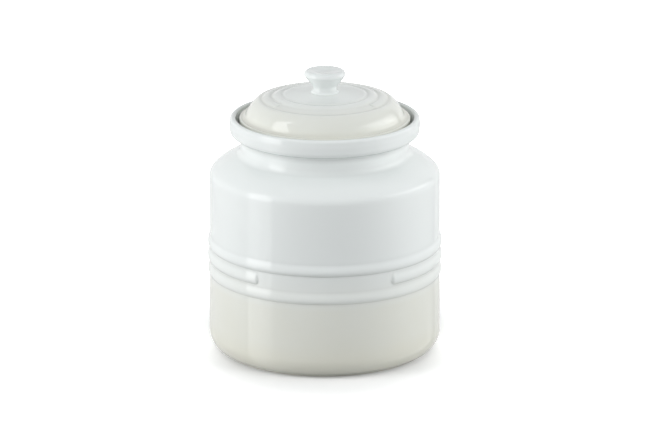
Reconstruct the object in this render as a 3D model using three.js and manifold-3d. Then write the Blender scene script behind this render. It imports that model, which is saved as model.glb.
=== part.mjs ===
// A stoneware cookie jar with a drop-in domed lid, in millimetres, +Z up.
// The origin is the centre of the foot ring's flat underside, on the surface the jar stands on.
import * as THREE from 'three';
import { mergeVertices } from 'three/addons/utils/BufferGeometryUtils.js';
import Module from 'manifold-3d';

const wasm = await Module();
wasm.setup();

const { degToRad, mapLinear } = THREE.MathUtils;

// Vessel: foot ring, heel and wall. Insets are measured in from the widest radius, at the heel.
const heelRadius = 83.1;
const heelHeight = 14.0;
const heelRound = 17.8;
const heelEdge = 1.0;
const insideHeelRound = 14.0;
const footInset = 8.1;
const footWidth = 8.0;
const footHeight = 2.6;
const footEdge = 0.7;
const baseRecess = 3.2;
const recessRound = 2.4;
const floorThickness = 6.5;
const wallThickness = 6.0;

// Vessel: three raised bands, the middle one broken at the front.
const bandHeight = 59.5;
const bandWallInset = 0.65;
const bandPitch = 10.15;
const bandWidth = 8.8;
const bandRelief = 1.4;
const lowBandRelief = 1.0;
const bandCrestDrop = 0.9;
const bandRoot = 1.5;
const bandEndLength = 2.8;

// Vessel: shoulder and neck. The neck's height runs from the end of its fillet to the top of the rim.
const shoulderHeight = 126.3;
const shoulderInset = 1.0;
const shoulderRound = 7.5;
const neckRadius = 60.0;
const neckFillet = 6.0;
const neckHeight = 22.25;

// Vessel: rolled rim and the ledge that carries the lid. Drops are measured down from the top of the rim.
const rimOverhang = 7.8;
const rimWidth = 4.7;
const rimWaistDrop = 5.4;
const rimBow = 0.35;
const rimLowerRound = 4.0;
const rimLowerDrop = 9.2;
const rimUpperRound = 2.3;
const rimInnerRound = 1.6;
const underRimDrop = 16.4;
const underRimFillet = 2.2;
const ledgeDrop = 6.6;
const ledgeStep = 1.7;
const ledgeEdge = 0.8;

// Lid: its edge, which sits on the ledge inside the rim. Rises are measured up from the lid's flange.
const seatGap = 0.3;
const lidEdgeGap = 0.7;
const beadRise = 6.0;
const beadRound = 1.4;
const flangeEdge = 0.8;

// Lid: flank, ridges and crown.
const flankInset = 4.7;
const flankFootRise = 7.7;
const flankRound = 23.0;
const flankLipRound = 2.5;
const outerValleyInset = 11.0;
const outerRidgeWidth = 7.4;
const innerRidgeWidth = 7.5;
const outerValleyRise = 18.8;
const middleValleyRise = 20.4;
const innerValleyRise = 21.8;
const ridgeRelief = 1.05;
const ridgeRoot = 1.6;
const ridgeEndLength = 2.4;
const crownEdgeRise = 0.9;
const crownEdgeWidth = 1.5;
const crownRise = 23.8;
const lidThickness = 5.6;

// Lid: locating skirt and the groove that holds the seal.
const skirtGap = 2.4;
const skirtThickness = 4.6;
const skirtDepth = 10.4;
const skirtEdge = 1.2;
const grooveDrop = 2.6;
const grooveWidth = 5.0;
const grooveDepth = 1.5;

// Seal: a silicone ring with two lips.
const sealGap = 0.3;
const sealBackThickness = 1.2;
const sealLipThickness = 1.2;

// Knob: mushroom head, waisted stem and flared foot, keyed into the crown by a spigot.
// Its rises are measured up from the crown.
const knobRise = 16.0;
const knobRadius = 14.7;
const knobWidestRise = 12.7;
const knobDishRadius = 12.0;
const knobDishDepth = 1.8;
const knobUnderRadius = 12.6;
const knobUnderRise = 9.5;
const stemTopRadius = 8.9;
const stemTopRise = 5.2;
const stemWaistRadius = 8.3;
const stemWaistRise = 1.8;
const stemFootRadius = 10.2;
const stemFootEdge = 0.3;
const spigotRadius = 4.5;
const spigotLength = 2.0;
const spigotGap = 0.3;

// Angles in degrees. The breaks in the band and in the ridge are measured each way from the front.
const heelSweep = 36;
const bandGapAngle = 34.2;
const ridgeGapAngle = 53;
const shoulderBreakAngle = 48;
const shoulderInnerAngle = 68;
const underRimAngle = 72;
const rimLowerAngle = 60;
const flankFootAngle = 20;
const flankTopAngle = 55;
const flankLipAngle = 105;

// Facets.
const turnSteps = 48;
const knobTurnSteps = 24;
const arcStep = 24;
const bandSteps = 6;
const ridgeSteps = 6;
const endSteps = 12;

// Shape of a raised bump across its width: a higher number makes it fuller.
const bumpFullness = 2.6;

// Sizes that follow from the ones above.
const footRadius = heelRadius - footInset;
const bandWallRadius = heelRadius - bandWallInset;
const shoulderRadius = heelRadius - shoulderInset;
const shoulder = shoulderArcs();
const rimHeight = shoulder.fillet.y + neckHeight;
const floorHeight = baseRecess + floorThickness;
const middleBandHeight = bandHeight + bandPitch;
const upperBandHeight = middleBandHeight + bandPitch;
const mouthRadius = neckRadius - wallThickness;
const rimRadius = neckRadius + rimOverhang;
const rimInnerRadius = rimRadius - rimWidth;
const ledgeRadius = rimInnerRadius - ledgeStep;
const ledgeHeight = rimHeight - ledgeDrop;
const lidEdgeRadius = ledgeRadius - lidEdgeGap;
const flangeHeight = ledgeHeight + seatGap;
const beadHeight = flangeHeight + beadRise;
const flankFootRadius = lidEdgeRadius - flankInset;
const flankFootHeight = flangeHeight + flankFootRise;
const skirtRadius = mouthRadius - skirtGap;
const skirtInnerRadius = skirtRadius - skirtThickness;
const skirtBottom = flangeHeight - skirtDepth;
const grooveTop = flangeHeight - grooveDrop;
const grooveBottom = grooveTop - grooveWidth;
const grooveRadius = skirtRadius - grooveDepth;
const outerValleyRadius = flankFootRadius - outerValleyInset;
const outerValleyHeight = flangeHeight + outerValleyRise;
const middleValleyRadius = outerValleyRadius - outerRidgeWidth;
const middleValleyHeight = flangeHeight + middleValleyRise;
const innerValleyRadius = middleValleyRadius - innerRidgeWidth;
const innerValleyHeight = flangeHeight + innerValleyRise;
const crownHeight = flangeHeight + crownRise;
const knobTop = crownHeight + knobRise;
const knobWidestHeight = crownHeight + knobWidestRise;

// Longer than any radius here, so that a cut passes right through.
const cutReach = heelRadius + rimRadius;

const whiteGlaze = new THREE.MeshStandardMaterial({ color: 0xe9edec, roughness: 0.12, metalness: 0 });
const creamGlaze = new THREE.MeshStandardMaterial({ color: 0xe3e2d8, roughness: 0.12, metalness: 0 });
const knobGlaze = new THREE.MeshStandardMaterial({ color: 0xeceeec, roughness: 0.12, metalness: 0 });
const paleSilicone = new THREE.MeshStandardMaterial({ color: 0xdfe0dc, roughness: 0.6, metalness: 0 });

// A point of a turned profile: its distance from the axis and its height.
function at(radius, height) {
  return new THREE.Vector2(radius, height);
}

// The point of an ellipse about a centre at an angle in degrees.
function onOval(centre, across, up, angle) {
  return at(centre.x + across * Math.cos(degToRad(angle)), centre.y + up * Math.sin(degToRad(angle)));
}

function onArc(centre, radius, angle) {
  return onOval(centre, radius, radius, angle);
}

// Points on an ellipse about a centre, from one angle in degrees to another, both ends included.
function oval(centre, across, up, from, to) {
  const steps = Math.max(1, Math.ceil(Math.abs(to - from) / arcStep));
  const points = [];
  for (let i = 0; i <= steps; i += 1) {
    points.push(onOval(centre, across, up, mapLinear(i, 0, steps, from, to)));
  }
  return points;
}

function arc(centre, radius, from, to) {
  return oval(centre, radius, radius, from, to);
}

// A rounded bump over the straight line between two points. Its crest stands off the line by the raise.
// The crest's share of the way from the middle to either point is -1 at the first and 1 at the second.
function bump(from, to, steps, raise, crestShare = 0) {
  const points = [];
  for (let i = 0; i <= steps; i += 1) {
    const across = mapLinear(i, 0, steps, -1, 1) - crestShare;
    const reach = across < 0 ? 1 + crestShare : 1 - crestShare;
    const height = 1 - Math.abs(across / reach) ** bumpFullness;
    points.push(from.clone().lerp(to, i / steps).addScaledVector(raise, height));
  }
  return points;
}

// Turns a profile about the upright axis. It runs up the outside and down the inside.
// The turn starts at the front, which is -Y.
function turn(profile, steps) {
  const lathe = new THREE.LatheGeometry(profile, steps);
  lathe.deleteAttribute('normal');
  lathe.deleteAttribute('uv');
  const merged = mergeVertices(lathe);
  const corners = merged.index.array;
  const kept = [];
  for (let i = 0; i < corners.length; i += 3) {
    const [a, b, c] = corners.subarray(i, i + 3);
    if (a !== b && b !== c && c !== a) {
      kept.push(a, b, c);
    }
  }
  merged.setIndex(kept);
  return merged.rotateX(Math.PI / 2);
}

function toSolid(geometry) {
  const vertProperties = new Float32Array(geometry.attributes.position.array);
  const triVerts = new Uint32Array(geometry.index.array);
  return new wasm.Manifold(new wasm.Mesh({ numProp: 3, vertProperties, triVerts }));
}

function toGeometry(solid) {
  const mesh = solid.getMesh();
  const geometry = new THREE.BufferGeometry();
  geometry.setAttribute('position', new THREE.BufferAttribute(mesh.vertProperties, 3));
  geometry.setIndex(new THREE.BufferAttribute(mesh.triVerts, 1));
  geometry.computeVertexNormals();
  return geometry;
}

// A closed wedge about the axis that covers an angle each way from the front.
function frontWedge(halfAngle, bottom, top) {
  const half = degToRad(halfAngle);
  const shape = new THREE.Shape();
  shape.moveTo(0, 0);
  shape.lineTo(-cutReach * Math.sin(half), -cutReach * Math.cos(half));
  shape.absarc(0, 0, cutReach, -Math.PI / 2 - half, -Math.PI / 2 + half);
  shape.closePath();
  const depth = top - bottom;
  const wedge = new THREE.ExtrudeGeometry(shape, { depth, bevelEnabled: false, curveSegments: endSteps });
  wedge.translate(0, 0, bottom);
  wedge.deleteAttribute('normal');
  wedge.deleteAttribute('uv');
  return toSolid(mergeVertices(wedge));
}

// A blunt rounded end for a broken band. Its half-sizes are in X, Y and Z at the front, where it is tilted
// to the band's slope and placed, and then it is turned about the axis by the angle.
function bandEnd(halfSizes, tilt, place, angle) {
  const end = new THREE.SphereGeometry(1, endSteps, endSteps / 2);
  end.deleteAttribute('normal');
  end.deleteAttribute('uv');
  end.scale(halfSizes.x, halfSizes.y, halfSizes.z);
  end.rotateX(tilt);
  end.translate(0, -place.x, place.y);
  end.rotateZ(angle);
  return toSolid(mergeVertices(end));
}

// A raised ring broken at the front, with a rounded end on each side of the break.
function brokenRing(profile, halfAngle, bottom, top, ends) {
  const ring = toSolid(turn([...profile, profile[0]], turnSteps));
  const broken = ring.subtract(frontWedge(halfAngle, bottom, top));
  const half = degToRad(halfAngle);
  return [-half, half].reduce((solid, angle) => solid.add(bandEnd(...ends, angle)), broken);
}

// The vessel's outer wall between heel, bands and shoulder: its radius at a height.
function wallRadius(height) {
  if (height < bandHeight) {
    return mapLinear(height, heelHeight, bandHeight, heelRadius, bandWallRadius);
  }
  return mapLinear(height, bandHeight, shoulderHeight, bandWallRadius, shoulderRadius);
}

// The face of a raised band, bottom to top. Its crest lies below its middle.
function bandFace(middle, relief) {
  const half = bandWidth / 2;
  const from = at(wallRadius(middle - half), middle - half);
  const to = at(wallRadius(middle + half), middle + half);
  return bump(from, to, bandSteps, at(relief, 0), -bandCrestDrop / half);
}

// The centres of the shoulder's arcs, and the slope's radius. The shoulder is a tight corner, a long slope
// and a hollow fillet into the neck, each tangent to the next.
function shoulderArcs() {
  const spread = Math.cos(degToRad(shoulderBreakAngle)) - Math.cos(degToRad(shoulderInnerAngle));
  const corner = at(shoulderRadius - shoulderRound, shoulderHeight);
  const slopeStart = onArc(corner, shoulderRound, shoulderBreakAngle);
  const slopeEnd = onArc(at(neckRadius + neckFillet, shoulderHeight), neckFillet, 180 + shoulderInnerAngle);
  const slopeRound = (slopeStart.x - slopeEnd.x) / spread;
  const slope = onArc(slopeStart, -slopeRound, shoulderBreakAngle);
  const fillet = onArc(slope, slopeRound + neckFillet, shoulderInnerAngle);
  return { corner, slope, slopeRound, fillet };
}

// The shoulder's face from the wall to the neck, at a depth inside the outer face.
function shoulderFace(depth) {
  const middle = (shoulderBreakAngle + shoulderInnerAngle) / 2;
  return [
    ...arc(shoulder.corner, shoulderRound - depth, 0, shoulderBreakAngle),
    ...arc(shoulder.slope, shoulder.slopeRound - depth, middle, shoulderInnerAngle),
    ...arc(shoulder.fillet, neckFillet + depth, 180 + shoulderInnerAngle, 180).slice(1),
  ];
}

// Foot ring and heel, from the axis out and up to the wall.
function footFace() {
  const footInner = footRadius - footWidth;
  const heel = at(heelRadius - heelRound, heelHeight);
  const heelFace = arc(heel, heelRound, -heelSweep, 0);
  return [
    at(0, baseRecess),
    ...arc(at(footInner - recessRound, baseRecess - recessRound), recessRound, 90, 0),
    at(footInner + footEdge, 0),
    at(footRadius - footEdge, 0),
    at(footRadius, footEdge),
    at(footRadius, footHeight),
    at(heelFace[0].x - heelEdge, footHeight),
    ...heelFace,
  ];
}

// Neck, rolled rim and lid ledge, from the neck's foot up, over and down to the mouth.
function rimFace() {
  const under = at(neckRadius + underRimFillet, rimHeight - underRimDrop);
  const lower = at(rimRadius - rimBow - rimLowerRound, rimHeight - rimLowerDrop);
  const upper = at(rimRadius - rimBow - rimUpperRound, rimHeight - rimUpperRound);
  const lip = at(rimInnerRadius + rimInnerRound, rimHeight - rimInnerRound);
  return [
    ...arc(under, underRimFillet, 180, 180 - underRimAngle),
    ...arc(lower, rimLowerRound, -rimLowerAngle, 0),
    at(rimRadius, rimHeight - rimWaistDrop),
    ...arc(upper, rimUpperRound, 0, 90),
    ...arc(lip, rimInnerRound, 90, 180),
    at(ledgeRadius, ledgeHeight + ledgeEdge),
    at(ledgeRadius - ledgeEdge, ledgeHeight),
    at(mouthRadius + ledgeEdge, ledgeHeight),
    at(mouthRadius, ledgeHeight - ledgeEdge),
  ];
}

function jarBody() {
  const insideHeel = at(heelRadius - wallThickness - insideHeelRound, floorHeight + insideHeelRound);
  const profile = [
    ...footFace(),
    ...bandFace(bandHeight, lowBandRelief),
    ...bandFace(upperBandHeight, bandRelief),
    ...shoulderFace(0),
    ...rimFace(),
    ...shoulderFace(wallThickness).reverse(),
    ...arc(insideHeel, insideHeelRound, 0, -90),
    at(0, floorHeight),
  ];
  const face = bandFace(middleBandHeight, bandRelief);
  const root = [at(face.at(-1).x - bandRoot, face.at(-1).y), at(face[0].x - bandRoot, face[0].y)];
  const wall = wallRadius(middleBandHeight);
  const halfSizes = new THREE.Vector3(bandEndLength, bandRelief, bandWidth / 2);
  const ends = [halfSizes, 0, at(wall, middleBandHeight)];
  const band = brokenRing([...face, ...root], bandGapAngle, bandHeight, upperBandHeight, ends);
  return toGeometry(toSolid(turn(profile, turnSteps)).add(band));
}

// The lid's underside from the axis out, its skirt and the groove for the seal, up to the flange.
function skirtFace() {
  const dome = oval(at(0, beadHeight), skirtInnerRadius, crownHeight - lidThickness - beadHeight, 90, 0);
  return [
    ...dome,
    at(skirtInnerRadius, skirtBottom + skirtEdge),
    at(skirtInnerRadius + skirtEdge, skirtBottom),
    at(skirtRadius - skirtEdge, skirtBottom),
    at(skirtRadius, skirtBottom + skirtEdge),
    at(skirtRadius, grooveBottom),
    at(grooveRadius, grooveBottom),
    at(grooveRadius, grooveTop),
    at(skirtRadius, grooveTop),
    at(skirtRadius, flangeHeight),
  ];
}

// The lid's edge bead, the crease above it, and the flank with the lip that falls into the outermost valley.
function flankFace() {
  const bead = at(lidEdgeRadius - beadRound, beadHeight - beadRound);
  const centre = onArc(at(flankFootRadius, flankFootHeight), -flankRound, flankFootAngle);
  const lip = onArc(centre, flankRound - flankLipRound, flankTopAngle);
  return [
    at(lidEdgeRadius - flangeEdge, flangeHeight),
    at(lidEdgeRadius, flangeHeight + flangeEdge),
    ...arc(bead, beadRound, 0, 90),
    ...arc(centre, flankRound, flankFootAngle, flankTopAngle),
    ...arc(lip, flankLipRound, flankTopAngle, flankLipAngle).slice(1),
  ];
}

// The lid's ridges and crown, from the outermost valley in to the knob's seat and its socket.
function crownFace() {
  const outerValley = at(outerValleyRadius, outerValleyHeight);
  const middleValley = at(middleValleyRadius, middleValleyHeight);
  const innerValley = at(innerValleyRadius, innerValleyHeight);
  const socketRadius = spigotRadius + spigotGap;
  return [
    outerValley,
    ...bump(middleValley, innerValley, ridgeSteps, at(0, ridgeRelief)),
    at(innerValleyRadius - crownEdgeWidth, innerValleyHeight + crownEdgeRise),
    at(stemFootRadius, crownHeight),
    at(socketRadius, crownHeight),
    at(socketRadius, crownHeight - spigotLength - spigotGap),
    at(0, crownHeight - spigotLength - spigotGap),
  ];
}

function lid() {
  const profile = [...skirtFace(), ...flankFace(), ...crownFace()];
  const from = at(outerValleyRadius, outerValleyHeight);
  const to = at(middleValleyRadius, middleValleyHeight);
  const face = bump(from, to, ridgeSteps, at(0, ridgeRelief));
  const root = [at(to.x, to.y - ridgeRoot), at(from.x, from.y - ridgeRoot)];
  const slope = Math.atan2(to.y - from.y, from.x - to.x);
  const halfSizes = new THREE.Vector3(ridgeEndLength, from.distanceTo(to) / 2, ridgeRelief);
  const ends = [halfSizes, slope, from.clone().lerp(to, 0.5)];
  const ridge = brokenRing([...face, ...root], ridgeGapAngle, beadHeight, knobTop, ends);
  return toGeometry(toSolid(turn(profile, turnSteps)).add(ridge));
}

// The ring clears the groove all round, and its lips stop short of the mouth.
function lidSeal() {
  const inner = grooveRadius + sealGap;
  const back = inner + sealBackThickness;
  const lip = mouthRadius - sealGap;
  const bottom = grooveBottom + sealGap;
  const top = grooveTop - sealGap;
  return turn([
    at(inner, bottom),
    at(back, bottom),
    at(lip, bottom + sealLipThickness / 2),
    at(lip, bottom + sealLipThickness),
    at(back, bottom + sealLipThickness),
    at(back, top - sealLipThickness - sealLipThickness / 2),
    at(lip, top - sealLipThickness),
    at(lip, top - sealLipThickness / 2),
    at(back, top),
    at(inner, top),
    at(inner, bottom),
  ], turnSteps);
}

// The knob from its spigot up the waisted stem, round the head's rim and into the shallow dish.
function lidKnob() {
  const rim = at(knobDishRadius, knobWidestHeight);
  const rimRound = knobRadius - knobDishRadius;
  return turn([
    at(0, crownHeight - spigotLength),
    at(spigotRadius, crownHeight - spigotLength),
    at(spigotRadius, crownHeight),
    at(stemFootRadius, crownHeight),
    at(stemFootRadius, crownHeight + stemFootEdge),
    at(stemWaistRadius, crownHeight + stemWaistRise),
    at(stemTopRadius, crownHeight + stemTopRise),
    at(knobUnderRadius, crownHeight + knobUnderRise),
    ...oval(rim, rimRound, knobTop - knobWidestHeight, 0, 90),
    at(0, knobTop - knobDishDepth),
  ], knobTurnSteps);
}

function piece(name, geometry, material) {
  const mesh = new THREE.Mesh(geometry, material);
  mesh.name = name;
  return mesh;
}

const jar = new THREE.Group();
jar.add(piece('jar_body', jarBody(), whiteGlaze));
const lidGroup = new THREE.Group();
lidGroup.add(piece('lid', lid(), creamGlaze));
lidGroup.add(piece('lid_knob', lidKnob(), knobGlaze));
lidGroup.add(piece('lid_seal', lidSeal(), paleSilicone));
jar.add(lidGroup);

export default jar;
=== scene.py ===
# A glazed stoneware cookie jar: the vessel, its domed lid, the knob and the silicone seal under the lid.
# Shapes are worked out in millimetres and go into the meshes in metres. The front of the jar is -Y.
import math

import bpy
import numpy as np
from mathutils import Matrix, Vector


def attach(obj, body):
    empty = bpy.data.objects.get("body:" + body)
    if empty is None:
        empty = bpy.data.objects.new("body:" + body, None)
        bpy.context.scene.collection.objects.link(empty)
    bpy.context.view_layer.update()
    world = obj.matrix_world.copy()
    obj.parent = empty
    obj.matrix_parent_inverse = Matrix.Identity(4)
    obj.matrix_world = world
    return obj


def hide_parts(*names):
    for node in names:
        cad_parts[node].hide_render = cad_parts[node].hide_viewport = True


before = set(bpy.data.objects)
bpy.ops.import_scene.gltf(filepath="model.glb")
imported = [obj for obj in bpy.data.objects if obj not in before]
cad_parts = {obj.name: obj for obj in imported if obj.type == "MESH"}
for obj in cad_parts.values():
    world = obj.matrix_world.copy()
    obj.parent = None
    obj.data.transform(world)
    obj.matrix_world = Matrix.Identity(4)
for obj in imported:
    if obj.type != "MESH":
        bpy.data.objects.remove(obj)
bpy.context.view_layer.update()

millimetre = 0.001
print("frame loaded:", ", ".join(sorted(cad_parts)))


def linear(hexColour):
    # sRGB hex to the linear colour that sockets take: the standard two-part curve, then alpha 1
    values = np.array([int(hexColour[i:i + 2], 16) for i in (1, 3, 5)]) / 255
    curved = ((values + 0.055) / 1.055) ** 2.4
    return (*np.where(values <= 0.04045, values / 12.92, curved), 1.0)


def addNode(tree, kind, inputs=None, **settings):
    # one node with its settings; an input is a value, or another node's output that gets linked
    node = tree.nodes.new(kind)
    for name, value in settings.items():
        setattr(node, name, value)
    for name, value in (inputs or {}).items():
        if isinstance(value, bpy.types.NodeSocket):
            tree.links.new(value, node.inputs[name])
        else:
            node.inputs[name].default_value = value
    return node


def newMaterial(name):
    material = bpy.data.materials.new(name)
    material.use_nodes = True
    material.node_tree.nodes.clear()
    return material, material.node_tree


# Profiles of turned pieces are arrays of (radius, height) that run up the outside and down the inside.
drawing = {
    "step": 0.25,             # between the points of a straight run, in mm
    "gap": 0.3,               # two runs that end further apart than this get a straight run between them
    "samePoint": 1e-4,        # points closer than this are one
    "nothing": 1e-6,          # a radius or a reach below this counts as none
    "cornerPoints": 13,       # in the curve that fills a rounded corner
    "offBand": 9.0,           # stands for a place that no band reaches, in half widths of the band
}


def onArc(centre, radius, angle):
    # the point of a circle at an angle in degrees: centre + radius * (cos, sin)
    return np.array([centre[0] + radius * math.cos(math.radians(angle)),
                     centre[1] + radius * math.sin(math.radians(angle))])


def arc(centre, across, start, end, up=None):
    # centre + (across * cos, up * sin) from the start angle to the end angle, in steps of about a degree
    angle = np.radians(np.linspace(start, end, max(3, int(abs(end - start)) + 1)))
    up = across if up is None else up
    return np.stack([centre[0] + across * np.cos(angle), centre[1] + up * np.sin(angle)], 1)


def line(start, end):
    # evenly spaced points on the straight line between two points, both ends included
    count = max(2, int(math.dist(start, end) / drawing["step"]) + 1)
    return np.linspace(start, end, count)


def joined(*runs):
    # runs of points in one path; a straight gap between two runs is filled with points
    path = [runs[0]]
    for run in runs[1:]:
        if math.dist(path[-1][-1], run[0]) > drawing["gap"]:
            path.append(line(path[-1][-1], run[0])[1:-1])
        path.append(run)
    path = np.concatenate(path)
    return path[np.r_[True, np.hypot(*np.diff(path, axis=0).T) > drawing["samePoint"]]]


def rounded(corners):
    # a path through corners (radius, height, round): each corner is cut back along both sides by
    # round * tan(half its turn) and filled with a quadratic curve, (1-t)^2 start + 2t(1-t) corner + t^2 end
    corners = np.array(corners, float)
    runs = [corners[:1, :2]]
    for before, corner, after in zip(corners[:-2], corners[1:-1], corners[2:]):
        into = (corner - before)[:2] / math.dist(corner[:2], before[:2])
        out = (after - corner)[:2] / math.dist(after[:2], corner[:2])
        turned = math.acos(max(-1, min(1, float(into @ out))))
        cut = corner[2] * math.tan(turned / 2)
        t = np.linspace(0, 1, drawing["cornerPoints"])[:, None]
        start, end = corner[:2] - into * cut, corner[:2] + out * cut
        runs.append((1 - t) ** 2 * start + 2 * t * (1 - t) * corner[:2] + t ** 2 * end)
    runs.append(corners[-1:, :2])
    return joined(*runs)


def bandShape(across, crest, above, below, past=0.0):
    # a raised band's height over its width, 0 to 1: (1 - distance ** fullness) ** foot. The distance grows
    # from 0 at the crest to 1 at either edge, across being -1 at the lower edge and 1 at the upper. Above and
    # below are the (fullness, foot) of each side: foot 1 meets the wall in a crease and 2 in a soft hollow.
    # Past the band's end the distance also grows by past, at a right angle to across
    distance = np.where(across > crest, (across - crest) / (1 - crest), (crest - across) / (1 + crest))
    distance = np.minimum(np.hypot(distance, past), 1)
    fullness, foot = (np.where(across > crest, upper, lower) for upper, lower in zip(above, below))
    return (1 - distance ** fullness) ** foot


def respaced(path, extra, longest, sharpest):
    # the path again, with steps of at most longest millimetres or sharpest degrees of turn; extra columns,
    # one value for each point, are carried along
    step = np.diff(path, axis=0)
    length = np.hypot(*step.T)
    heading = np.unwrap(np.arctan2(step[:, 1], step[:, 0]))
    turned = np.degrees(np.abs(np.gradient(heading)))
    weight = np.r_[0, np.cumsum(length / longest + turned / sharpest)]
    even = np.linspace(0, weight[-1], int(weight[-1]) + 2)
    columns = np.column_stack([path, extra])
    return np.column_stack([np.interp(even, weight, column) for column in columns.T])


def hollowness(path, reach):
    # how hollow (positive) or crested (negative) a turned profile is at each point: the turn of its heading
    # over the reach in millimetres on both sides, as a share of a right angle
    step = np.diff(path, axis=0)
    length = np.r_[0, np.cumsum(np.hypot(*step.T))]
    heading = np.unwrap(np.arctan2(step[:, 1], step[:, 0]))
    middle = (length[1:] + length[:-1]) / 2
    ahead = np.interp(length + reach, middle, heading)
    behind = np.interp(length - reach, middle, heading)
    return (behind - ahead) / (math.pi / 2)


def softening(path, reach):
    # weights that pull each point of a path to the mean of its neighbours along it, which count
    # 1 - distance / reach. Glaze softens creases in this way as it melts
    length = np.r_[0, np.cumsum(np.hypot(*np.diff(path, axis=0).T))]
    apart = np.abs(length[:, None] - length[None, :])
    reach = np.maximum(reach, drawing["nothing"])[:, None]
    weights = np.maximum(1 - apart / reach, 0) * np.gradient(length)[None, :]
    return weights / weights.sum(1, keepdims=True)


def evenTurn(step):
    # angles about the axis from -180 to 180 in even steps of so many degrees
    return np.radians(np.arange(-180, 180, step))


def brokenTurn(coarse, end, fine, spread):
    # even coarse angles too, with fine ones within the spread of a band's two ends, at +end and -end
    angles = [np.arange(-180, 180, coarse)]
    for side in (-1, 1):
        angles.append(side * np.arange(end - spread, end + spread, fine))
    angles = np.unique(np.round(np.concatenate(angles), 3))
    return np.radians(angles[np.r_[True, np.diff(angles) > fine / 2]])


def turnedPiece(name, radius, height, angle, attributes, body, node, materials, faceMaterial=None):
    # a surface of revolution: x = radius * sin(angle), y = -radius * cos(angle), z = height, on a grid of
    # profile rows by angle columns. A first and last row at radius 0 become poles, and a profile without
    # them closes on itself. faceMaterial says, by a face's radius and height, where the second material lies
    rows, columns = radius.shape
    grid = np.stack([radius * np.sin(angle), -radius * np.cos(angle), height], -1) * millimetre
    poles = bool(radius[0].max() < drawing["nothing"])
    inner = grid[1:-1] if poles else grid
    points = inner.reshape(-1, 3)
    bands = len(inner) - 1 if poles else len(inner)
    row = np.arange(bands)[:, None]
    column = np.arange(columns)[None, :]
    after, above = (column + 1) % columns, (row + 1) % len(inner)
    quads = np.stack([row * columns + column, row * columns + after,
                      above * columns + after, above * columns + column], -1).reshape(-1, 4)
    faces = quads.tolist()
    if poles:
        first, last = len(points), len(points) + 1
        points = np.concatenate([points, grid[:1, 0], grid[-1:, 0]])
        edge = np.arange(columns)
        top = (len(inner) - 1) * columns
        faces += np.stack([np.full(columns, first), (edge + 1) % columns, edge], -1).tolist()
        faces += np.stack([top + edge, top + (edge + 1) % columns, np.full(columns, last)], -1).tolist()
    mesh = bpy.data.meshes.new(name)
    mesh.from_pydata(points.tolist(), [], faces)
    for label, values in attributes.items():
        kept = np.r_[values[1:-1].reshape(-1), values[0, 0], values[-1, 0]] if poles else values.reshape(-1)
        mesh.attributes.new(label, "FLOAT", "POINT").data.foreach_set("value", kept.astype(np.float32))
    mesh.polygons.foreach_set("use_smooth", np.ones(len(faces), bool))
    for material in materials:
        mesh.materials.append(material)
    if faceMaterial is not None:
        centres = np.empty(len(faces) * 3)
        mesh.polygons.foreach_get("center", centres)
        centres = centres.reshape(-1, 3) / millimetre
        chosen = faceMaterial(np.hypot(centres[:, 0], centres[:, 1]), centres[:, 2])
        mesh.polygons.foreach_set("material_index", chosen.astype(np.int32))
    mesh.validate()
    mesh.update()
    piece = bpy.data.objects.new(name, mesh)
    bpy.context.scene.collection.objects.link(piece)
    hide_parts(node)
    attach(piece, body)
    print(name, len(mesh.polygons), "faces")


glaze = {
    "white": "#E9EDEC",
    "cream": "#E2E1D3",
    "lidCream": "#DCDBCE",
    "vesselFade": [(12, 0.9), (24, 0.68), (50, 0.56), (57, 0.24), (82, 0.0)],    # heights, share of cream
    "lidFade": [(26, 0.1), (38, 0.28), (48, 0.5), (55, 0.6), (59, 0.85)],        # radii, share of cream
    "knobFade": [(0, 0.0), (20, 0.0)],
    "poolAndShadeTint": 0.25,         # painted shade and light: how much more cream goes into hollows and less onto crests, partly real glaze pooling
    "poolShadeWhere": 3.0,         # that tint is full from a share of cream of 1 / 3 on, and fades out below it
    "pooledShadeTint": "#B9BDBA",      # painted shade: a greyer colour in hollows and creases, partly the real look of glaze that lies thick there
    "pooledShadeShare": 0.5,       # how far the colour goes towards that painted shade in the tightest hollows
    "roughness": 0.06,
    "ior": 1.5,
    "orangePeel": 2.4,        # distance between the glaze's faint dimples, in mm
    "peelDepth": 0.03,        # their depth, in mm
    "peelStrength": 0.06,
    "mottle": 22.0,           # distance between slightly thicker patches of glaze, in mm
    "mottleDepth": 0.06,      # how much thicker they are, in mm
    "mottleStrength": 0.3,
    "mottleTint": 0.04,       # and how much more or less cream they hold
    "mottleNoise": (0.3, 0.7),    # the part of the noise's range that the tint is spread over
}


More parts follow.
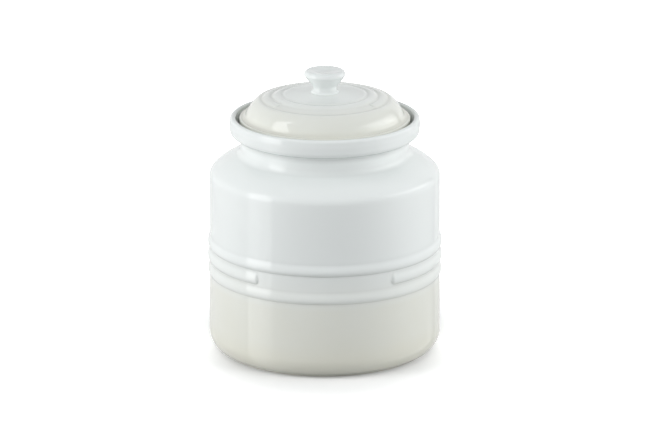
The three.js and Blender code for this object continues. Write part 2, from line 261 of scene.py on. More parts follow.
def glazeMaterial(name, cream, stops, byRadius):
    # Stoneware under a fired gloss glaze, sprayed white with a cream fade along the height or the radius. The
    # glaze is a smooth glass skin, so edges of lights mirror sharply. Hollows and creases get painted shade,
    # more cream and a greyer colour, partly the real pooling of the glaze, and crests get a little less
    # cream. Its surface has the faint dimples of sprayed glaze
    material, tree = newMaterial(name)
    place = addNode(tree, "ShaderNodeTexCoord").outputs["Object"]
    parts = addNode(tree, "ShaderNodeSeparateXYZ", {0: place})
    if byRadius:
        flat = addNode(tree, "ShaderNodeCombineXYZ", {"X": parts.outputs["X"], "Y": parts.outputs["Y"]})
        length = addNode(tree, "ShaderNodeVectorMath", {0: flat.outputs[0]}, operation="LENGTH")
        measure = length.outputs["Value"]
    else:
        measure = parts.outputs["Z"]
    patches = addNode(tree, "ShaderNodeTexNoise", {
        "Vector": place, "Scale": 1 / (glaze["mottle"] * millimetre), "Detail": 2.0})
    drift = addNode(tree, "ShaderNodeMapRange", {
        "Value": patches.outputs["Fac"],
        "From Min": glaze["mottleNoise"][0], "From Max": glaze["mottleNoise"][1],
        "To Min": -glaze["mottleTint"], "To Max": glaze["mottleTint"]})
    first, last = stops[0][0], stops[-1][0]
    along = addNode(tree, "ShaderNodeMapRange", {
        "Value": measure, "From Min": first * millimetre, "From Max": last * millimetre})
    fade = addNode(tree, "ShaderNodeValToRGB", {"Fac": along.outputs["Result"]})
    while len(fade.color_ramp.elements) < len(stops):
        fade.color_ramp.elements.new(0.5)
    for stop, (at, share) in zip(fade.color_ramp.elements, stops):
        stop.position = (at - first) / (last - first)
        stop.color = (share, share, share, 1)
    # painted shade: hollowness, partly real glaze pooling, puts more cream into hollows and less onto crests
    poolAndShade = addNode(tree, "ShaderNodeAttribute", attribute_name="poolAndShade")
    pooledShadeTint = addNode(tree, "ShaderNodeMath", {
        0: poolAndShade.outputs["Fac"], 1: glaze["poolAndShadeTint"], 2: drift.outputs["Result"]}, operation="MULTIPLY_ADD")
    held = addNode(tree, "ShaderNodeMath", {
        0: fade.outputs["Color"], 1: glaze["poolShadeWhere"]}, operation="MULTIPLY", use_clamp=True)
    shifted = addNode(tree, "ShaderNodeMath", {
        0: pooledShadeTint.outputs[0], 1: held.outputs[0], 2: fade.outputs["Color"]},
        operation="MULTIPLY_ADD", use_clamp=True)
    colour = addNode(tree, "ShaderNodeMix", {
        0: shifted.outputs[0], 6: linear(glaze["white"]), 7: linear(cream)}, data_type="RGBA")
    # painted shade: hollows are mixed towards the grey
    hollowShade = addNode(tree, "ShaderNodeMath", {
        0: poolAndShade.outputs["Fac"], 1: glaze["pooledShadeShare"]}, operation="MULTIPLY", use_clamp=True)
    shadedHollows = addNode(tree, "ShaderNodeMix", {
        0: hollowShade.outputs[0], 6: colour.outputs[2], 7: linear(glaze["pooledShadeTint"])}, data_type="RGBA")
    dimples = addNode(tree, "ShaderNodeTexNoise", {
        "Vector": place, "Scale": 1 / (glaze["orangePeel"] * millimetre), "Detail": 1.0})
    waves = addNode(tree, "ShaderNodeTexNoise", {
        "Vector": place, "Scale": 1 / (glaze["mottle"] * millimetre), "Detail": 0.0})
    skin = addNode(tree, "ShaderNodeBump", {
        "Height": dimples.outputs["Fac"], "Strength": glaze["peelStrength"],
        "Distance": glaze["peelDepth"] * millimetre})
    body = addNode(tree, "ShaderNodeBump", {
        "Height": waves.outputs["Fac"], "Strength": glaze["mottleStrength"],
        "Distance": glaze["mottleDepth"] * millimetre, "Normal": skin.outputs["Normal"]})
    surface = addNode(tree, "ShaderNodeBsdfPrincipled", {
        "Base Color": shadedHollows.outputs[2], "Roughness": glaze["roughness"], "IOR": glaze["ior"],
        "Normal": body.outputs["Normal"]})
    addNode(tree, "ShaderNodeOutputMaterial", {"Surface": surface.outputs[0]})
    return material


clay = {
    "colour": "#D9D3C6",
    "grog": "#B9AF9E",
    "grogSize": 0.9,          # the clay's coarser grains in mm, drawn a little coarser than real to show
    "grogFrom": 0.52,         # noise above this starts to show as grains
    "grogTo": 0.72,           # and above this it is all grain
    "grainDepth": 0.05,       # in mm
    "grainStrength": 0.4,
    "roughness": 0.85,
}


def clayMaterial():
    # Bare fired stoneware where the glaze is wiped off before firing: matt, buff and finely speckled
    material, tree = newMaterial("bareStoneware")
    place = addNode(tree, "ShaderNodeTexCoord").outputs["Object"]
    grain = addNode(tree, "ShaderNodeTexNoise", {
        "Vector": place, "Scale": 1 / (clay["grogSize"] * millimetre), "Detail": 4.0})
    speckle = addNode(tree, "ShaderNodeMapRange", {
        "Value": grain.outputs["Fac"], "From Min": clay["grogFrom"], "From Max": clay["grogTo"]})
    colour = addNode(tree, "ShaderNodeMix", {
        0: speckle.outputs[0], 6: linear(clay["colour"]), 7: linear(clay["grog"])}, data_type="RGBA")
    rough = addNode(tree, "ShaderNodeBump", {
        "Height": grain.outputs["Fac"], "Strength": clay["grainStrength"],
        "Distance": clay["grainDepth"] * millimetre})
    surface = addNode(tree, "ShaderNodeBsdfPrincipled", {
        "Base Color": colour.outputs[2], "Roughness": clay["roughness"], "Normal": rough.outputs["Normal"]})
    addNode(tree, "ShaderNodeOutputMaterial", {"Surface": surface.outputs[0]})
    return material


silicone = {
    "colour": "#E4E5E1",
    "roughness": 0.42,
    "roughnessDrift": 0.08,   # more or less of it in the cloudy patches
    "bloom": 6.0,             # distance between the cloudy patches of a moulded silicone, in mm
    "ior": 1.41,
    "milkiness": 0.4,
    "scatter": 2.0,           # how far light goes into it, in mm
    "scatterColours": (1.0, 1.0, 0.9),
}


def siliconeMaterial():
    # Moulded food-grade silicone: milky, soft to the light and slightly cloudy, with a satin skin
    material, tree = newMaterial("milkySilicone")
    place = addNode(tree, "ShaderNodeTexCoord").outputs["Object"]
    cloud = addNode(tree, "ShaderNodeTexNoise", {
        "Vector": place, "Scale": 1 / (silicone["bloom"] * millimetre), "Detail": 3.0})
    rough = addNode(tree, "ShaderNodeMapRange", {
        "Value": cloud.outputs["Fac"], "To Min": silicone["roughness"] - silicone["roughnessDrift"],
        "To Max": silicone["roughness"] + silicone["roughnessDrift"]})
    surface = addNode(tree, "ShaderNodeBsdfPrincipled", {
        "Base Color": linear(silicone["colour"]), "Roughness": rough.outputs["Result"],
        "IOR": silicone["ior"], "Subsurface Weight": silicone["milkiness"],
        "Subsurface Radius": silicone["scatterColours"],
        "Subsurface Scale": silicone["scatter"] * millimetre})
    addNode(tree, "ShaderNodeOutputMaterial", {"Surface": surface.outputs[0]})
    return material


vesselGlaze = glazeMaterial("whiteToCreamGlaze", glaze["cream"], glaze["vesselFade"], False)
lidGlaze = glazeMaterial("creamEdgedGlaze", glaze["lidCream"], glaze["lidFade"], True)
knobGlaze = glazeMaterial("whiteGlaze", glaze["cream"], glaze["knobFade"], True)
bareStoneware = clayMaterial()
milkySilicone = siliconeMaterial()
print("materials made")


vessel = {    # lengths and heights in mm, angles in degrees
    "footRadius": 75.0, "footWidth": 8.0, "footHeight": 2.6, "footEdge": 0.7,
    "wipedShare": 0.6, "wipedPast": 0.2,      # how much of the foot's edge is bare, and how far inside it
    "baseRecess": 3.2, "recessRound": 2.4, "floorHeight": 9.7, "wall": 6.0,
    "heelRadius": 83.1, "heelHeight": 14.0, "heelRound": 17.8, "heelSweep": 36, "heelEdge": 1.0,
    "footCrease": (0.5, 0.7),                 # rounds of the step between the foot ring and the heel
    "insideHeelRound": 14.0,
    "bandWallRadius": 82.45, "bandHeight": 59.5, "bandPitch": 10.15, "bandWidth": 8.8,
    "bandRelief": 1.4, "lowBandRelief": 1.1, "bandCrest": -0.28,
    "bandAbove": (2.0, 1.8), "bandBelow": (2.2, 1.0),    # fullness and foot on each side of the crest
    "bandGap": 34.2, "bandEnd": 2.8,          # half the break of the middle band, and how long its end is
    "shoulderRadius": 82.1, "shoulderHeight": 126.3, "shoulderRound": 7.5,
    "shoulderBreak": 48, "shoulderInner": 68, "neckRadius": 60.0, "neckFillet": 6.0,
    "underRim": (2.2, 153.2), "underRimTo": 108,         # round and height of the hollow under the rim
    "rimLower": (4.0, 160.4), "rimLowerFrom": -60,       # round and height of the rim's lower edge
    "rimRadius": 67.8, "rimMiddle": 164.2, "rimBow": 0.35, "rimBowRound": 6.0,
    "rimHeight": 169.6, "rimUpperRound": 2.3, "rimInnerRadius": 63.1, "rimInnerRound": 1.6,
    "ledgeCorner": (61.7, 164.6, 1.5),        # radius, height and round above the ledge
    "ledgeRadius": 61.4, "ledgeHeight": 163.0, "ledgeEdge": 0.8, "mouthRadius": 54.0, "mouthDrop": 4.0,
    "softness": [(149.5, 0.0), (151.5, 2.4), (157.5, 2.4), (160.0, 0.0)],    # heights, how far creases soften
    "softFrom": 59.9,         # radius from which they soften
    "hollowReach": 1.2,         # how far hollowness looks both ways along the section
    "wallStep": 0.15,         # between the heights at which the wall is worked out
    "steps": (3.0, 8.0),      # the longest step of the finished section and its sharpest turn
    "turnStep": 2.0, "endStep": 0.35, "endMiddle": 1.5, "endSpread": 3.0,    # about the axis, at the break
}


def wallRadius(height):
    # the wall's outside radius: straight from the heel to the lowest band, and from there to the shoulder
    v = vessel
    return np.interp(height, [v["heelHeight"], v["bandHeight"], v["shoulderHeight"]],
                     [v["heelRadius"], v["bandWallRadius"], v["shoulderRadius"]])


def shoulderPath(depth):
    # a tight corner, a long slope and a hollow fillet, each tangent to the next, at a depth below the glaze.
    # The slope's round is (radius at its start - radius at its end) / (cos first angle - cos last angle)
    v = vessel
    corner = (v["shoulderRadius"] - v["shoulderRound"], v["shoulderHeight"])
    start = onArc(corner, v["shoulderRound"], v["shoulderBreak"])
    end = onArc((v["neckRadius"] + v["neckFillet"], 0), v["neckFillet"], 180 + v["shoulderInner"])
    spread = math.cos(math.radians(v["shoulderBreak"])) - math.cos(math.radians(v["shoulderInner"]))
    slopeRound = (start[0] - end[0]) / spread
    slope = onArc(start, -slopeRound, v["shoulderBreak"])
    fillet = onArc(slope, slopeRound + v["neckFillet"], v["shoulderInner"])
    return joined(
        arc(corner, v["shoulderRound"] - depth, 0, v["shoulderBreak"]),
        arc(slope, slopeRound - depth, v["shoulderBreak"], v["shoulderInner"]),
        arc(fillet, v["neckFillet"] + depth, 180 + v["shoulderInner"], 180))


def vesselPath():
    # the vessel's whole section, from the middle of its base, up the outside, over the rim, down the inside
    v = vessel
    footInner = v["footRadius"] - v["footWidth"]
    heel = (v["heelRadius"] - v["heelRound"], v["heelHeight"])
    heelStart = onArc(heel, v["heelRound"], -v["heelSweep"])
    foot = rounded([
        (0, v["baseRecess"], 0),
        (footInner, v["baseRecess"], v["recessRound"]),
        (footInner, 0, v["footEdge"]),
        (v["footRadius"], 0, v["footEdge"]),
        (v["footRadius"], v["footHeight"], v["footCrease"][0]),
        (heelStart[0] - v["heelEdge"], v["footHeight"], v["footCrease"][1]),
        (*heelStart, 0)])
    heights = np.arange(v["heelHeight"], v["shoulderHeight"], v["wallStep"])
    radii = wallRadius(heights)
    highBand = v["bandHeight"] + 2 * v["bandPitch"]
    for middle, relief in ((v["bandHeight"], v["lowBandRelief"]), (highBand, v["bandRelief"])):
        across = (heights - middle) / (v["bandWidth"] / 2)
        radii = radii + relief * bandShape(across, v["bandCrest"], v["bandAbove"], v["bandBelow"])
    lowerRound, lowerHeight = v["rimLower"]
    underRound, underHeight = v["underRim"]
    bowed = v["rimRadius"] - v["rimBow"]
    insideHeel = (v["heelRadius"] - v["wall"] - v["insideHeelRound"], v["floorHeight"] + v["insideHeelRound"])
    ledge = rounded([
        (v["rimInnerRadius"], v["rimHeight"] - v["rimInnerRound"], 0),
        v["ledgeCorner"],
        (v["ledgeRadius"], v["ledgeHeight"], v["ledgeEdge"]),
        (v["mouthRadius"], v["ledgeHeight"], v["ledgeEdge"]),
        (v["mouthRadius"], v["ledgeHeight"] - v["mouthDrop"], 0)])
    return joined(
        foot,
        arc(heel, v["heelRound"], -v["heelSweep"], 0),
        np.stack([radii, heights], 1),
        shoulderPath(0),
        arc((v["neckRadius"] + underRound, underHeight), underRound, 180, v["underRimTo"]),
        arc((bowed - lowerRound, lowerHeight), lowerRound, v["rimLowerFrom"], 0),
        rounded([(bowed, lowerHeight, 0), (v["rimRadius"], v["rimMiddle"], v["rimBowRound"]),
                 (bowed, v["rimHeight"] - v["rimUpperRound"], 0)]),
        arc((bowed - v["rimUpperRound"], v["rimHeight"] - v["rimUpperRound"]), v["rimUpperRound"], 0, 90),
        arc((v["rimInnerRadius"] + v["rimInnerRound"], v["rimHeight"] - v["rimInnerRound"]),
            v["rimInnerRound"], 90, 180),
        ledge,
        shoulderPath(v["wall"])[::-1],
        arc(insideHeel, v["insideHeelRound"], 0, -90),
        np.array([[0.0, v["floorHeight"]]]))


def makeVessel():
    # The radius is the wall's + bandRelief * bandShape. The middle band is broken at the front: over the last
    # bandEnd millimetres before the break the distance in bandShape also grows along the band, to a blunt end
    v = vessel
    path = vesselPath()
    middle = v["bandHeight"] + v["bandPitch"]
    outside = (path[:, 0] > v["rimRadius"]) & (np.arange(len(path)) < len(path) / 2)
    across = np.where(outside, (path[:, 1] - middle) / (v["bandWidth"] / 2), drawing["offBand"])
    relief = v["bandRelief"] * bandShape(across, v["bandCrest"], v["bandAbove"], v["bandBelow"])
    full = path + np.stack([relief, np.zeros(len(path))], 1)
    # hollowness, which the glaze turns into painted shade in hollows and creases and a lighter colour on
    # crests
    poolsAndShade = np.stack([hollowness(path, v["hollowReach"]), hollowness(full, v["hollowReach"])], 1)
    soft = np.where(path[:, 0] > v["softFrom"], np.interp(path[:, 1], *zip(*v["softness"])), 0)
    spaced = respaced(full, np.column_stack([path[:, 0], across, poolsAndShade, soft]), *v["steps"])
    soften = softening(spaced[:, :2], spaced[:, 6])
    height, base, across = spaced[:, 1], spaced[:, 2], spaced[:, 3]
    angle = brokenTurn(v["turnStep"], v["bandGap"] + v["endMiddle"], v["endStep"], v["endSpread"])
    along = v["bandWallRadius"] * (np.abs(angle) - math.radians(v["bandGap"])) / v["bandEnd"]
    past = np.clip(1 - along, 0, 1)[None, :]
    raised = bandShape(across[:, None], v["bandCrest"], v["bandAbove"], v["bandBelow"], past)
    radius = base[:, None] + v["bandRelief"] * raised
    share = np.clip(along, 0, 1)[None, :]
    poolAndShade = spaced[:, 4:5] * (1 - share) + spaced[:, 5:6] * share
    heights = np.repeat(height[:, None], len(angle), 1)
    radius, heights, poolAndShade = soften @ radius, soften @ heights, soften @ poolAndShade

    def bareRing(r, z):
        # the foot ring's underside is wiped bare
        innerSide = v["footRadius"] - v["footWidth"] - v["wipedPast"]
        return (z < v["wipedShare"] * v["footEdge"]) & (r > innerSide)

    turnedPiece("vessel", radius, heights, angle, {"poolAndShade": poolAndShade}, "jar", "jar_body",
                [vesselGlaze, bareStoneware], bareRing)


makeVessel()


lidShape = {    # lengths and heights in mm, angles in degrees
    "flangeHeight": 163.3, "edgeRadius": 60.7, "flangeEdge": 0.8,
    "bareWithin": 0.15, "bareMargin": 0.9,    # bare clay lies this near to flangeHeight, with these margins
    "beadHeight": 169.3, "beadRound": 1.4, "beadTo": 110,
    "crease": (56.35, 169.9, 0.6),            # radius, height and round of the corner between bead and flank
    "flankFoot": (56.0, 171.0), "flankRound": 23.0, "flankFrom": 20, "flankTo": 55,
    "lipRound": 2.5, "lipTo": 105,
    "valleys": [(45.0, 182.1), (37.6, 183.7), (30.1, 185.1)],    # radii and heights beside each ridge
    "ridgeRelief": 1.05, "ridgeShape": (2.4, 1.0), "ridgeCrest": 0.1, "ridgePoints": 60,
    "ridgeGap": 53, "ridgeEnd": 2.4,          # half the break of the outer ridge, and how long its end is
    "crownStep": (28.6, 186.0, 1.6), "crownHeight": 187.1, "domeTop": 181.5,
    "skirtRadius": 51.6, "skirtInner": 47.0, "skirtBottom": 152.9, "skirtEdge": 1.2, "skirtFillet": 0.8,
    "groove": (160.7, 155.7), "grooveRadius": 50.1, "grooveEdge": 0.3,
    "socketRadius": 4.8, "socketDepth": 2.3, "socketRounds": (0.2, 0.3), "knobFootRadius": 10.2,
    "softness": [(12.0, 0.0), (14.0, 1.9), (47.0, 1.9), (52.0, 2.6), (57.0, 2.6), (59.3, 0.0)],    # by radius
    "hollowReach": 1.0,
    "steps": (0.9, 8.0),      # the longest step of the finished section and its sharpest turn
    "turnStep": 2.0, "endStep": 0.5, "endMiddle": 1.5, "endSpread": 3.5,    # about the axis, and at the break
}


def ridgeRun(start, end, raised):
    # a straight run between two valleys with a ridge over it: start + t * (end - start), and straight up from
    # there by ridgeRelief * bandShape. Raised is 1 for the ridge and 0 for the bare run
    s = lidShape
    t = np.linspace(0, 1, s["ridgePoints"])
    run = np.array(start) + t[:, None] * (np.array(end) - np.array(start))
    across = 2 * t - 1
    lift = s["ridgeRelief"] * bandShape(across, s["ridgeCrest"], s["ridgeShape"], s["ridgeShape"])
    return run + np.stack([np.zeros(len(t)), lift * raised], 1), across


def makeLid():
    # The section runs from the middle of the dome's inside, round the skirt, out along the flange and over
    # the dome. The outer ridge is broken at the front in the same way as the vessel's middle band
    s = lidShape
    under = arc((0, s["beadHeight"]), s["skirtInner"], 90, 0, up=s["domeTop"] - s["beadHeight"])
    skirt = rounded([
        (s["skirtInner"], s["beadHeight"], 0),
        (s["skirtInner"], s["skirtBottom"], s["skirtEdge"]),
        (s["skirtRadius"], s["skirtBottom"], s["skirtEdge"]),
        (s["skirtRadius"], s["groove"][1], s["grooveEdge"]),
        (s["grooveRadius"], s["groove"][1], s["grooveEdge"]),
        (s["grooveRadius"], s["groove"][0], s["grooveEdge"]),
        (s["skirtRadius"], s["groove"][0], s["grooveEdge"]),
        (s["skirtRadius"], s["flangeHeight"], s["skirtFillet"]),
        (s["edgeRadius"], s["flangeHeight"], s["flangeEdge"]),
        (s["edgeRadius"], s["beadHeight"] - s["beadRound"], 0)])
    beadCentre = (s["edgeRadius"] - s["beadRound"], s["beadHeight"] - s["beadRound"])
    bead = arc(beadCentre, s["beadRound"], 0, s["beadTo"])
    flankCentre = onArc(s["flankFoot"], -s["flankRound"], s["flankFrom"])
    lipCentre = onArc(flankCentre, s["flankRound"] - s["lipRound"], s["flankTo"])
    flank = joined(
        arc(flankCentre, s["flankRound"], s["flankFrom"], s["flankTo"]),
        arc(lipCentre, s["lipRound"], s["flankTo"], s["lipTo"]))
    crease = rounded([(*bead[-1], 0), s["crease"], (*flank[0], 0)])
    outer, middle, inner = s["valleys"]
    broken, brokenAcross = ridgeRun(outer, middle, 0)
    fullRidge, _ = ridgeRun(outer, middle, 1)
    whole, _ = ridgeRun(middle, inner, 1)
    crown = rounded([
        (*inner, 0), s["crownStep"], (s["knobFootRadius"], s["crownHeight"], 0),
        (s["socketRadius"], s["crownHeight"], s["socketRounds"][0]),
        (s["socketRadius"], s["crownHeight"] - s["socketDepth"], s["socketRounds"][1]),
        (0, s["crownHeight"] - s["socketDepth"], 0)])
    below = len(joined(under, skirt, bead))
    start = joined(under, skirt, bead, crease, flank)[:-1]
    gap = line(start[-1], outer)[1:-1]
    start = np.concatenate([start, gap])
    end = joined(whole, crown)[1:]
    base = np.concatenate([start, broken, end])
    full = np.concatenate([start, fullRidge, end])
    off = drawing["offBand"]
    across = np.concatenate([np.full(len(start), off), brokenAcross, np.full(len(end), off)])
    # hollowness, which the glaze turns into painted shade in hollows and creases and a lighter colour on
    # crests
    poolsAndShade = np.stack([hollowness(base, s["hollowReach"]), hollowness(full, s["hollowReach"])], 1)
    soft = np.where(np.arange(len(base)) > below, np.interp(base[:, 0], *zip(*s["softness"])), 0)
    spaced = respaced(full, np.column_stack([base[:, 1], across, poolsAndShade, soft]), *s["steps"])
    soften = softening(spaced[:, :2], spaced[:, 6])
    radius, baseHeight, across = spaced[:, 0], spaced[:, 2], spaced[:, 3]
    angle = brokenTurn(s["turnStep"], s["ridgeGap"] + s["endMiddle"], s["endStep"], s["endSpread"])
    along = outer[0] * (np.abs(angle) - math.radians(s["ridgeGap"])) / s["ridgeEnd"]
    past = np.clip(1 - along, 0, 1)[None, :]
    raised = bandShape(across[:, None], s["ridgeCrest"], s["ridgeShape"], s["ridgeShape"], past)
    heights = baseHeight[:, None] + s["ridgeRelief"] * raised
    share = np.clip(along, 0, 1)[None, :]
    poolAndShade = spaced[:, 4:5] * (1 - share) + spaced[:, 5:6] * share
    radii = np.repeat(radius[:, None], len(angle), 1)
    radii, heights, poolAndShade = soften @ radii, soften @ heights, soften @ poolAndShade

    def bareSeat(r, z):
        # the flange's underside stays bare, so that the lid doesn't stick in the kiln
        innerSide, outerSide = s["skirtRadius"] + s["bareMargin"], s["edgeRadius"] - s["bareMargin"]
        return (np.abs(z - s["flangeHeight"]) < s["bareWithin"]) & (r > innerSide) & (r < outerSide)

    turnedPiece("domedLid", radii, heights, angle, {"poolAndShade": poolAndShade}, "lid", "lid",
                [lidGlaze, bareStoneware], bareSeat)


makeLid()


knob = {    # lengths and heights in mm
    "spigotRadius": 4.5, "spigotBottom": 185.1, "spigotRounds": (0.3, 0.1), "crownHeight": 187.1,
    "footRadius": 10.2, "footEdge": 0.3, "footRounds": (0.15, 0.2),
    "waist": (8.3, 188.9, 2.4), "stemTop": (8.9, 192.3, 5.0), "under": (12.6, 196.6, 3.0),    # with rounds
    "widest": (14.7, 199.8), "rimRadius": 12.0, "top": 203.1, "dish": 1.8, "dishPoints": 40,
    "hollowReach": 0.8,
    "steps": (1.0, 7.0),      # the longest step of the finished section and its sharpest turn, in degrees
    "turnStep": 3.0,          # about the axis, in degrees
}


def makeKnob():
    # Spigot, flared foot, waisted stem, and a mushroom head with a rolled rim and a shallow dish, which falls
    # by dish * (3t^2 - 2t^3) from the rim, where t is 0, to the middle
    k = knob
    stem = rounded([
        (0, k["spigotBottom"], 0),
        (k["spigotRadius"], k["spigotBottom"], k["spigotRounds"][0]),
        (k["spigotRadius"], k["crownHeight"], k["spigotRounds"][1]),
        (k["footRadius"], k["crownHeight"], k["footRounds"][0]),
        (k["footRadius"], k["crownHeight"] + k["footEdge"], k["footRounds"][1]),
        k["waist"],
        k["stemTop"],
        k["under"],
        (*k["widest"], 0)])
    head = arc((k["rimRadius"], k["widest"][1]), k["widest"][0] - k["rimRadius"], 0, 90,
               up=k["top"] - k["widest"][1])
    t = np.linspace(0, 1, k["dishPoints"])[:, None]
    dish = np.hstack([k["rimRadius"] * (1 - t), k["top"] - k["dish"] * (3 * t ** 2 - 2 * t ** 3)])
    path = joined(stem, head, dish)
    # hollowness, which the glaze turns into painted shade in hollows and creases and a lighter colour on
    # crests
    spaced = respaced(path, hollowness(path, k["hollowReach"]), *k["steps"])
    angle = evenTurn(k["turnStep"])
    grid = np.ones((1, len(angle)))
    turnedPiece("mushroomKnob", spaced[:, :1] * grid, spaced[:, 1:2] * grid, angle,
                {"poolAndShade": spaced[:, 2:3] * grid}, "lid", "lid_knob", [knobGlaze])


makeKnob()


seal = {    # lengths and heights in mm
    "inner": 50.4, "back": 51.6, "lip": 53.7, "bottom": 156.0, "top": 160.4, "lipThickness": 1.2,
    "innerRound": 0.3, "rootRound": 0.4, "lipRound": 0.25,
    "steps": (0.8, 15.0),     # the longest step of the finished section and its sharpest turn, in degrees
    "turnStep": 2.0,          # about the axis, in degrees
}


def makeSeal():
    # a ring with a flat back in the lid's groove and two soft lips that meet the mouth
    s = seal
    half = s["lipThickness"] / 2
    path = rounded([
        (s["inner"], (s["bottom"] + s["top"]) / 2, 0),
        (s["inner"], s["bottom"], s["innerRound"]),
        (s["back"], s["bottom"], s["rootRound"]),
        (s["lip"], s["bottom"] + half, s["lipRound"]),
        (s["lip"], s["bottom"] + 2 * half, s["lipRound"]),
        (s["back"], s["bottom"] + 2 * half, s["rootRound"]),
        (s["back"], s["top"] - 3 * half, s["rootRound"]),
        (s["lip"], s["top"] - 2 * half, s["lipRound"]),
        (s["lip"], s["top"] - half, s["lipRound"]),
        (s["back"], s["top"], s["rootRound"]),
        (s["inner"], s["top"], s["innerRound"]),
        (s["inner"], (s["bottom"] + s["top"]) / 2, 0)])
    spaced = respaced(path, np.zeros(len(path)), *s["steps"])[:-1]
    angle = evenTurn(s["turnStep"])
    grid = np.ones((1, len(angle)))
    turnedPiece("siliconeSeal", spaced[:, :1] * grid, spaced[:, 1:2] * grid, angle,
                {}, "seal", "lid_seal", [milkySilicone])


makeSeal()
print("pieces made")


view = {
    "distance": 2900.0, "aim": (0.14, 0.0, 94.9), "sensorWidth": 36.0,    # in mm
    "elevation": 16.85,                                                   # in degrees
    "focalPixels": 4060.0, "imageWidth": 650,                             # in pixels of the image
    "clipEnd": 50,                                                        # in metres
}


def makeCamera():
    # stands in front of the jar at the view's elevation and looks at the aim point
    elevation = math.radians(view["elevation"])
    aim = Vector(view["aim"]) * millimetre
    away = Vector((0, -math.cos(elevation), math.sin(elevation)))
    data = bpy.data.cameras.new("camera")
    data.sensor_width = view["sensorWidth"]
    data.lens = view["focalPixels"] * view["sensorWidth"] / view["imageWidth"]
    data.clip_end = view["clipEnd"]
    camera = bpy.data.objects.new("camera", data)
    camera.location = aim + away * view["distance"] * millimetre
    camera.rotation_euler = (-away).to_track_quat("-Z", "Y").to_euler()
    bpy.context.scene.collection.objects.link(camera)
    bpy.context.scene.camera = camera


makeCamera()


# Light cards: the two softboxes that stand mirrored in the glaze. Each is an upright flat sheet at an azimuth
# (0 is the camera's side, 90 the right) and a distance in metres. Its rows run from bottom to top and give
# the (across, up) position in metres of its left and right edge, as the jar sees it. Radiance 1 is white. The
# fades are the shares of the width and height over which the left, right, bottom and top edges fall off.
cards = {
    "leftSoftbox": {
        "azimuth": -72, "distance": 1.0, "radiance": 4.2, "fades": (0.01, 0.01, 0.01, 0.01),
        "rows": [((-0.13, -0.168), (0.366, -0.168)), ((-0.13, 0.10), (0.37, 0.10)),
                 ((-0.17, 0.30), (0.38, 0.30)), ((-0.24, 0.46), (0.42, 0.46)),
                 ((-0.265, 0.61), (0.21, 0.61)), ((-0.295, 0.75), (0.13, 0.75)),
                 ((-0.306, 0.82), (0.105, 0.82)), ((-0.215, 0.95), (0.075, 0.95)),
                 ((-0.02, 1.24), (0.12, 1.24)), ((0.22, 1.60), (0.245, 1.60))]},
    "rightSoftbox": {
        "azimuth": 92, "distance": 1.0, "radiance": 3.2, "fades": (0.03, 0.5, 0.02, 0.85),
        "rows": [((-0.26, 0.39), (1.0, 0.02)), ((-1.0, 1.35), (1.1, 0.55))]},
}
cardMiddle = (0.0, 0.0, 0.172)    # the place in metres that the cards and lamps stand round and face
cardSteps = 41                    # points along each side of a card's grid


def makeCard(name, card):
    # a flat grid, left + (right - left) * u on each row. It glows by inset^2 * (3 - 2 * inset), and inset is
    # the distance from the nearest edge as a share of that edge's fade, at most 1
    azimuth = math.radians(card["azimuth"])
    across = np.array([math.cos(azimuth), math.sin(azimuth), 0])
    toCard = np.array([math.sin(azimuth), -math.cos(azimuth), 0])
    up = np.array([0, 0, 1])
    middle = np.array(cardMiddle) + toCard * card["distance"]
    rows = np.array(card["rows"])
    rise = rows[:, :, 1].mean(1)
    share = (rise - rise[0]) / (rise[-1] - rise[0])
    even = np.linspace(0, 1, cardSteps)
    left, right = (np.stack([np.interp(even, share, rows[:, side, axis]) for axis in (0, 1)], -1)
                   for side in (0, 1))
    flat = left[:, None] + (right - left)[:, None] * even[None, :, None]
    points = middle + flat[..., :1] * across + flat[..., 1:] * up
    index = np.arange(cardSteps ** 2).reshape(cardSteps, cardSteps)
    faces = np.stack([index[:-1, :-1], index[:-1, 1:], index[1:, 1:], index[1:, :-1]], -1).reshape(-1, 4)
    u, v = np.meshgrid(even, even)
    fadeLeft, fadeRight, fadeBottom, fadeTop = card["fades"]
    inset = np.minimum.reduce([
        u / fadeLeft, (1 - u) / fadeRight, v / fadeBottom, (1 - v) / fadeTop, np.ones_like(u)])
    glow = inset ** 2 * (3 - 2 * inset)
    mesh = bpy.data.meshes.new(name)
    mesh.from_pydata(points.reshape(-1, 3).tolist(), [], faces.tolist())
    mesh.attributes.new("glow", "FLOAT", "POINT").data.foreach_set("value", glow.ravel().astype(np.float32))
    material, tree = newMaterial(name)
    glowing = addNode(tree, "ShaderNodeAttribute", attribute_name="glow")
    strength = addNode(tree, "ShaderNodeMath", {
        0: glowing.outputs["Fac"], 1: card["radiance"]}, operation="MULTIPLY")
    light = addNode(tree, "ShaderNodeEmission", {"Strength": strength.outputs[0]})
    addNode(tree, "ShaderNodeOutputMaterial", {"Surface": light.outputs[0]})
    mesh.materials.append(material)
    sheet = bpy.data.objects.new(name, mesh)
    bpy.context.scene.collection.objects.link(sheet)
    sheet.visible_camera = False


for cardName, cardValues in cards.items():
    makeCard(cardName, cardValues)


# Fill lamps: azimuth and elevation in degrees, width and height in metres, and watts. They face the jar and
# light it evenly, and don't show in the glaze.
lamps = {
    "front": (0, 5, 0.5, 0.17, 0.5),
    "rightFront": (62, 15, 0.4, 0.4, 3.2),
    "rightLow": (88, 4, 0.5, 0.2, 0.6),
    "leftLow": (-75, 4, 0.5, 0.2, 1.35),
    "leftBack": (-130, 25, 0.5, 0.5, 0.4),
    "top": (0, 88, 0.8, 0.8, 0.93),
}
lampDistance = 0.9    # metres


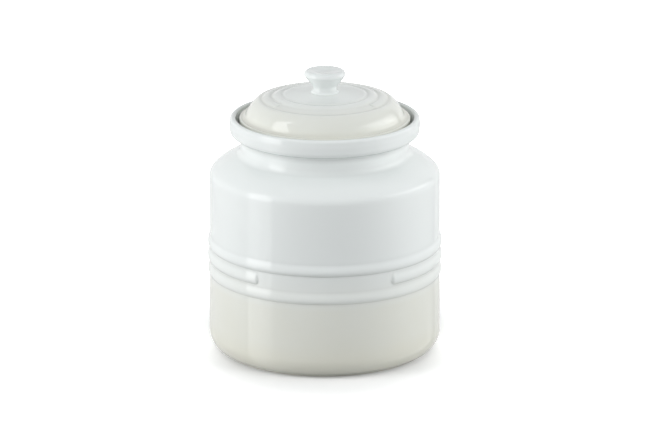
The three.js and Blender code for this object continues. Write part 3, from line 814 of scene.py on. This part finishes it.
def makeLamp(name, azimuth, elevation, width, height, watts):
    # at cardMiddle + lampDistance * (sin azimuth * cos elevation, -cos azimuth * cos elevation,
    # sin elevation), facing cardMiddle
    azimuth, elevation = math.radians(azimuth), math.radians(elevation)
    toLamp = Vector((math.sin(azimuth) * math.cos(elevation), -math.cos(azimuth) * math.cos(elevation),
                     math.sin(elevation)))
    data = bpy.data.lights.new(name, "AREA")
    data.shape = "RECTANGLE"
    data.size, data.size_y = width, height
    data.energy = watts
    lamp = bpy.data.objects.new(name, data)
    lamp.location = Vector(cardMiddle) + toLamp * lampDistance
    lamp.rotation_euler = toLamp.to_track_quat("Z", "Y").to_euler()
    lamp.visible_camera = False
    lamp.visible_glossy = False
    bpy.context.scene.collection.objects.link(lamp)


for lampName, lampValues in lamps.items():
    makeLamp(lampName, *lampValues)


room = {
    "fill": 0.305,               # the world's even light on the object
    "fillColour": "#F8FDFF",     # a little cooler than the lamps, for the cooler shaded side
    "floorBounce": "#A6A6A6",    # the floor's colour for light on its way to the object
    "floorSeen": "#FFFFFF",      # its colour for the camera, where it keeps the shadow
    "glowMiddle": (0.0, 0.045, 0.0),    # its own glow grows away from this place behind the jar's axis, and
                                        # from its mirror image in front, whichever is nearer
    "glowFrom": 0.052,           # the glow starts this far out, in metres
    "glowTo": 0.15,              # and is full this far out, where the floor turns into the plain background
    "floorMirrored": "#E7E7E7",  # its colour in mirror images
    "mirroredGlow": 0.2,         # its own glow there, which brings it up to white
    "floorGloss": 0.02,          # the roughness of its glossy coating there
    "floorIOR": 3.0,             # of that coating: high, so that the floor mirrors the softboxes strongly
    "floorHalf": 6.0,            # half the floor's side, in metres
}


def seenDirectly(tree):
    # 1 for rays of the camera, of mirror images and through clear things, and 0 for diffuse light
    path = addNode(tree, "ShaderNodeLightPath")
    mirrored = addNode(tree, "ShaderNodeMath", {
        0: path.outputs["Is Glossy Ray"], 1: path.outputs["Is Transmission Ray"]}, operation="MAXIMUM")
    seen = addNode(tree, "ShaderNodeMath", {
        0: path.outputs["Is Camera Ray"], 1: mirrored.outputs[0]}, operation="MAXIMUM")
    return path, seen.outputs[0]


def makeFloor():
    # A white table top. Seen directly it keeps the jar's shadow and glows to plain white further out. In the
    # glaze's mirror images it also has the gloss of its coating, so that the softboxes stand mirrored in it
    half = room["floorHalf"]
    mesh = bpy.data.meshes.new("floor")
    corners = [(-half, -half, 0), (half, -half, 0), (half, half, 0), (-half, half, 0)]
    mesh.from_pydata(corners, [], [(0, 1, 2, 3)])
    material, tree = newMaterial("whiteFloor")
    path, seen = seenDirectly(tree)
    place = addNode(tree, "ShaderNodeTexCoord").outputs["Object"]
    fromAxes = addNode(tree, "ShaderNodeVectorMath", {0: place}, operation="ABSOLUTE")
    away = addNode(tree, "ShaderNodeVectorMath", {
        0: fromAxes.outputs["Vector"], 1: room["glowMiddle"]}, operation="DISTANCE")
    glow = addNode(tree, "ShaderNodeMapRange", {
        "Value": away.outputs["Value"], "From Min": room["glowFrom"], "From Max": room["glowTo"]},
        interpolation_type="SMOOTHSTEP")
    bounce = addNode(tree, "ShaderNodeBsdfDiffuse", {"Color": linear(room["floorBounce"])})
    matt = addNode(tree, "ShaderNodeBsdfDiffuse", {"Color": linear(room["floorSeen"])})
    coated = addNode(tree, "ShaderNodeBsdfPrincipled", {
        "Base Color": linear(room["floorMirrored"]), "Roughness": room["floorGloss"],
        "IOR": room["floorIOR"]})
    top = addNode(tree, "ShaderNodeMixShader", {
        0: path.outputs["Is Glossy Ray"], 1: matt.outputs[0], 2: coated.outputs[0]})
    lift = addNode(tree, "ShaderNodeMix", {
        0: path.outputs["Is Glossy Ray"], 2: glow.outputs["Result"], 3: room["mirroredGlow"]})
    light = addNode(tree, "ShaderNodeEmission", {"Strength": lift.outputs[0]})
    lifted = addNode(tree, "ShaderNodeAddShader", {0: top.outputs[0], 1: light.outputs[0]})
    surface = addNode(tree, "ShaderNodeMixShader", {0: seen, 1: bounce.outputs[0], 2: lifted.outputs[0]})
    addNode(tree, "ShaderNodeOutputMaterial", {"Surface": surface.outputs[0]})
    mesh.materials.append(material)
    floor = bpy.data.objects.new("floor", mesh)
    bpy.context.scene.collection.objects.link(floor)


makeFloor()


def makeWorld():
    # an even fill on the object, and plain white wherever the world itself is seen
    world = bpy.data.worlds.new("studio")
    bpy.context.scene.world = world
    world.use_nodes = True
    tree = world.node_tree
    tree.nodes.clear()
    path, seen = seenDirectly(tree)
    strength = addNode(tree, "ShaderNodeMapRange", {
        "Value": seen, "To Min": room["fill"], "To Max": 1.0})
    colour = addNode(tree, "ShaderNodeMix", {
        0: seen, 6: linear(room["fillColour"]), 7: (1, 1, 1, 1)}, data_type="RGBA")
    background = addNode(tree, "ShaderNodeBackground", {
        "Color": colour.outputs[2], "Strength": strength.outputs["Result"]})
    addNode(tree, "ShaderNodeOutputWorld", {"Surface": background.outputs[0]})


makeWorld()
bpy.context.scene.view_settings.view_transform = "Standard"
print("studio made")
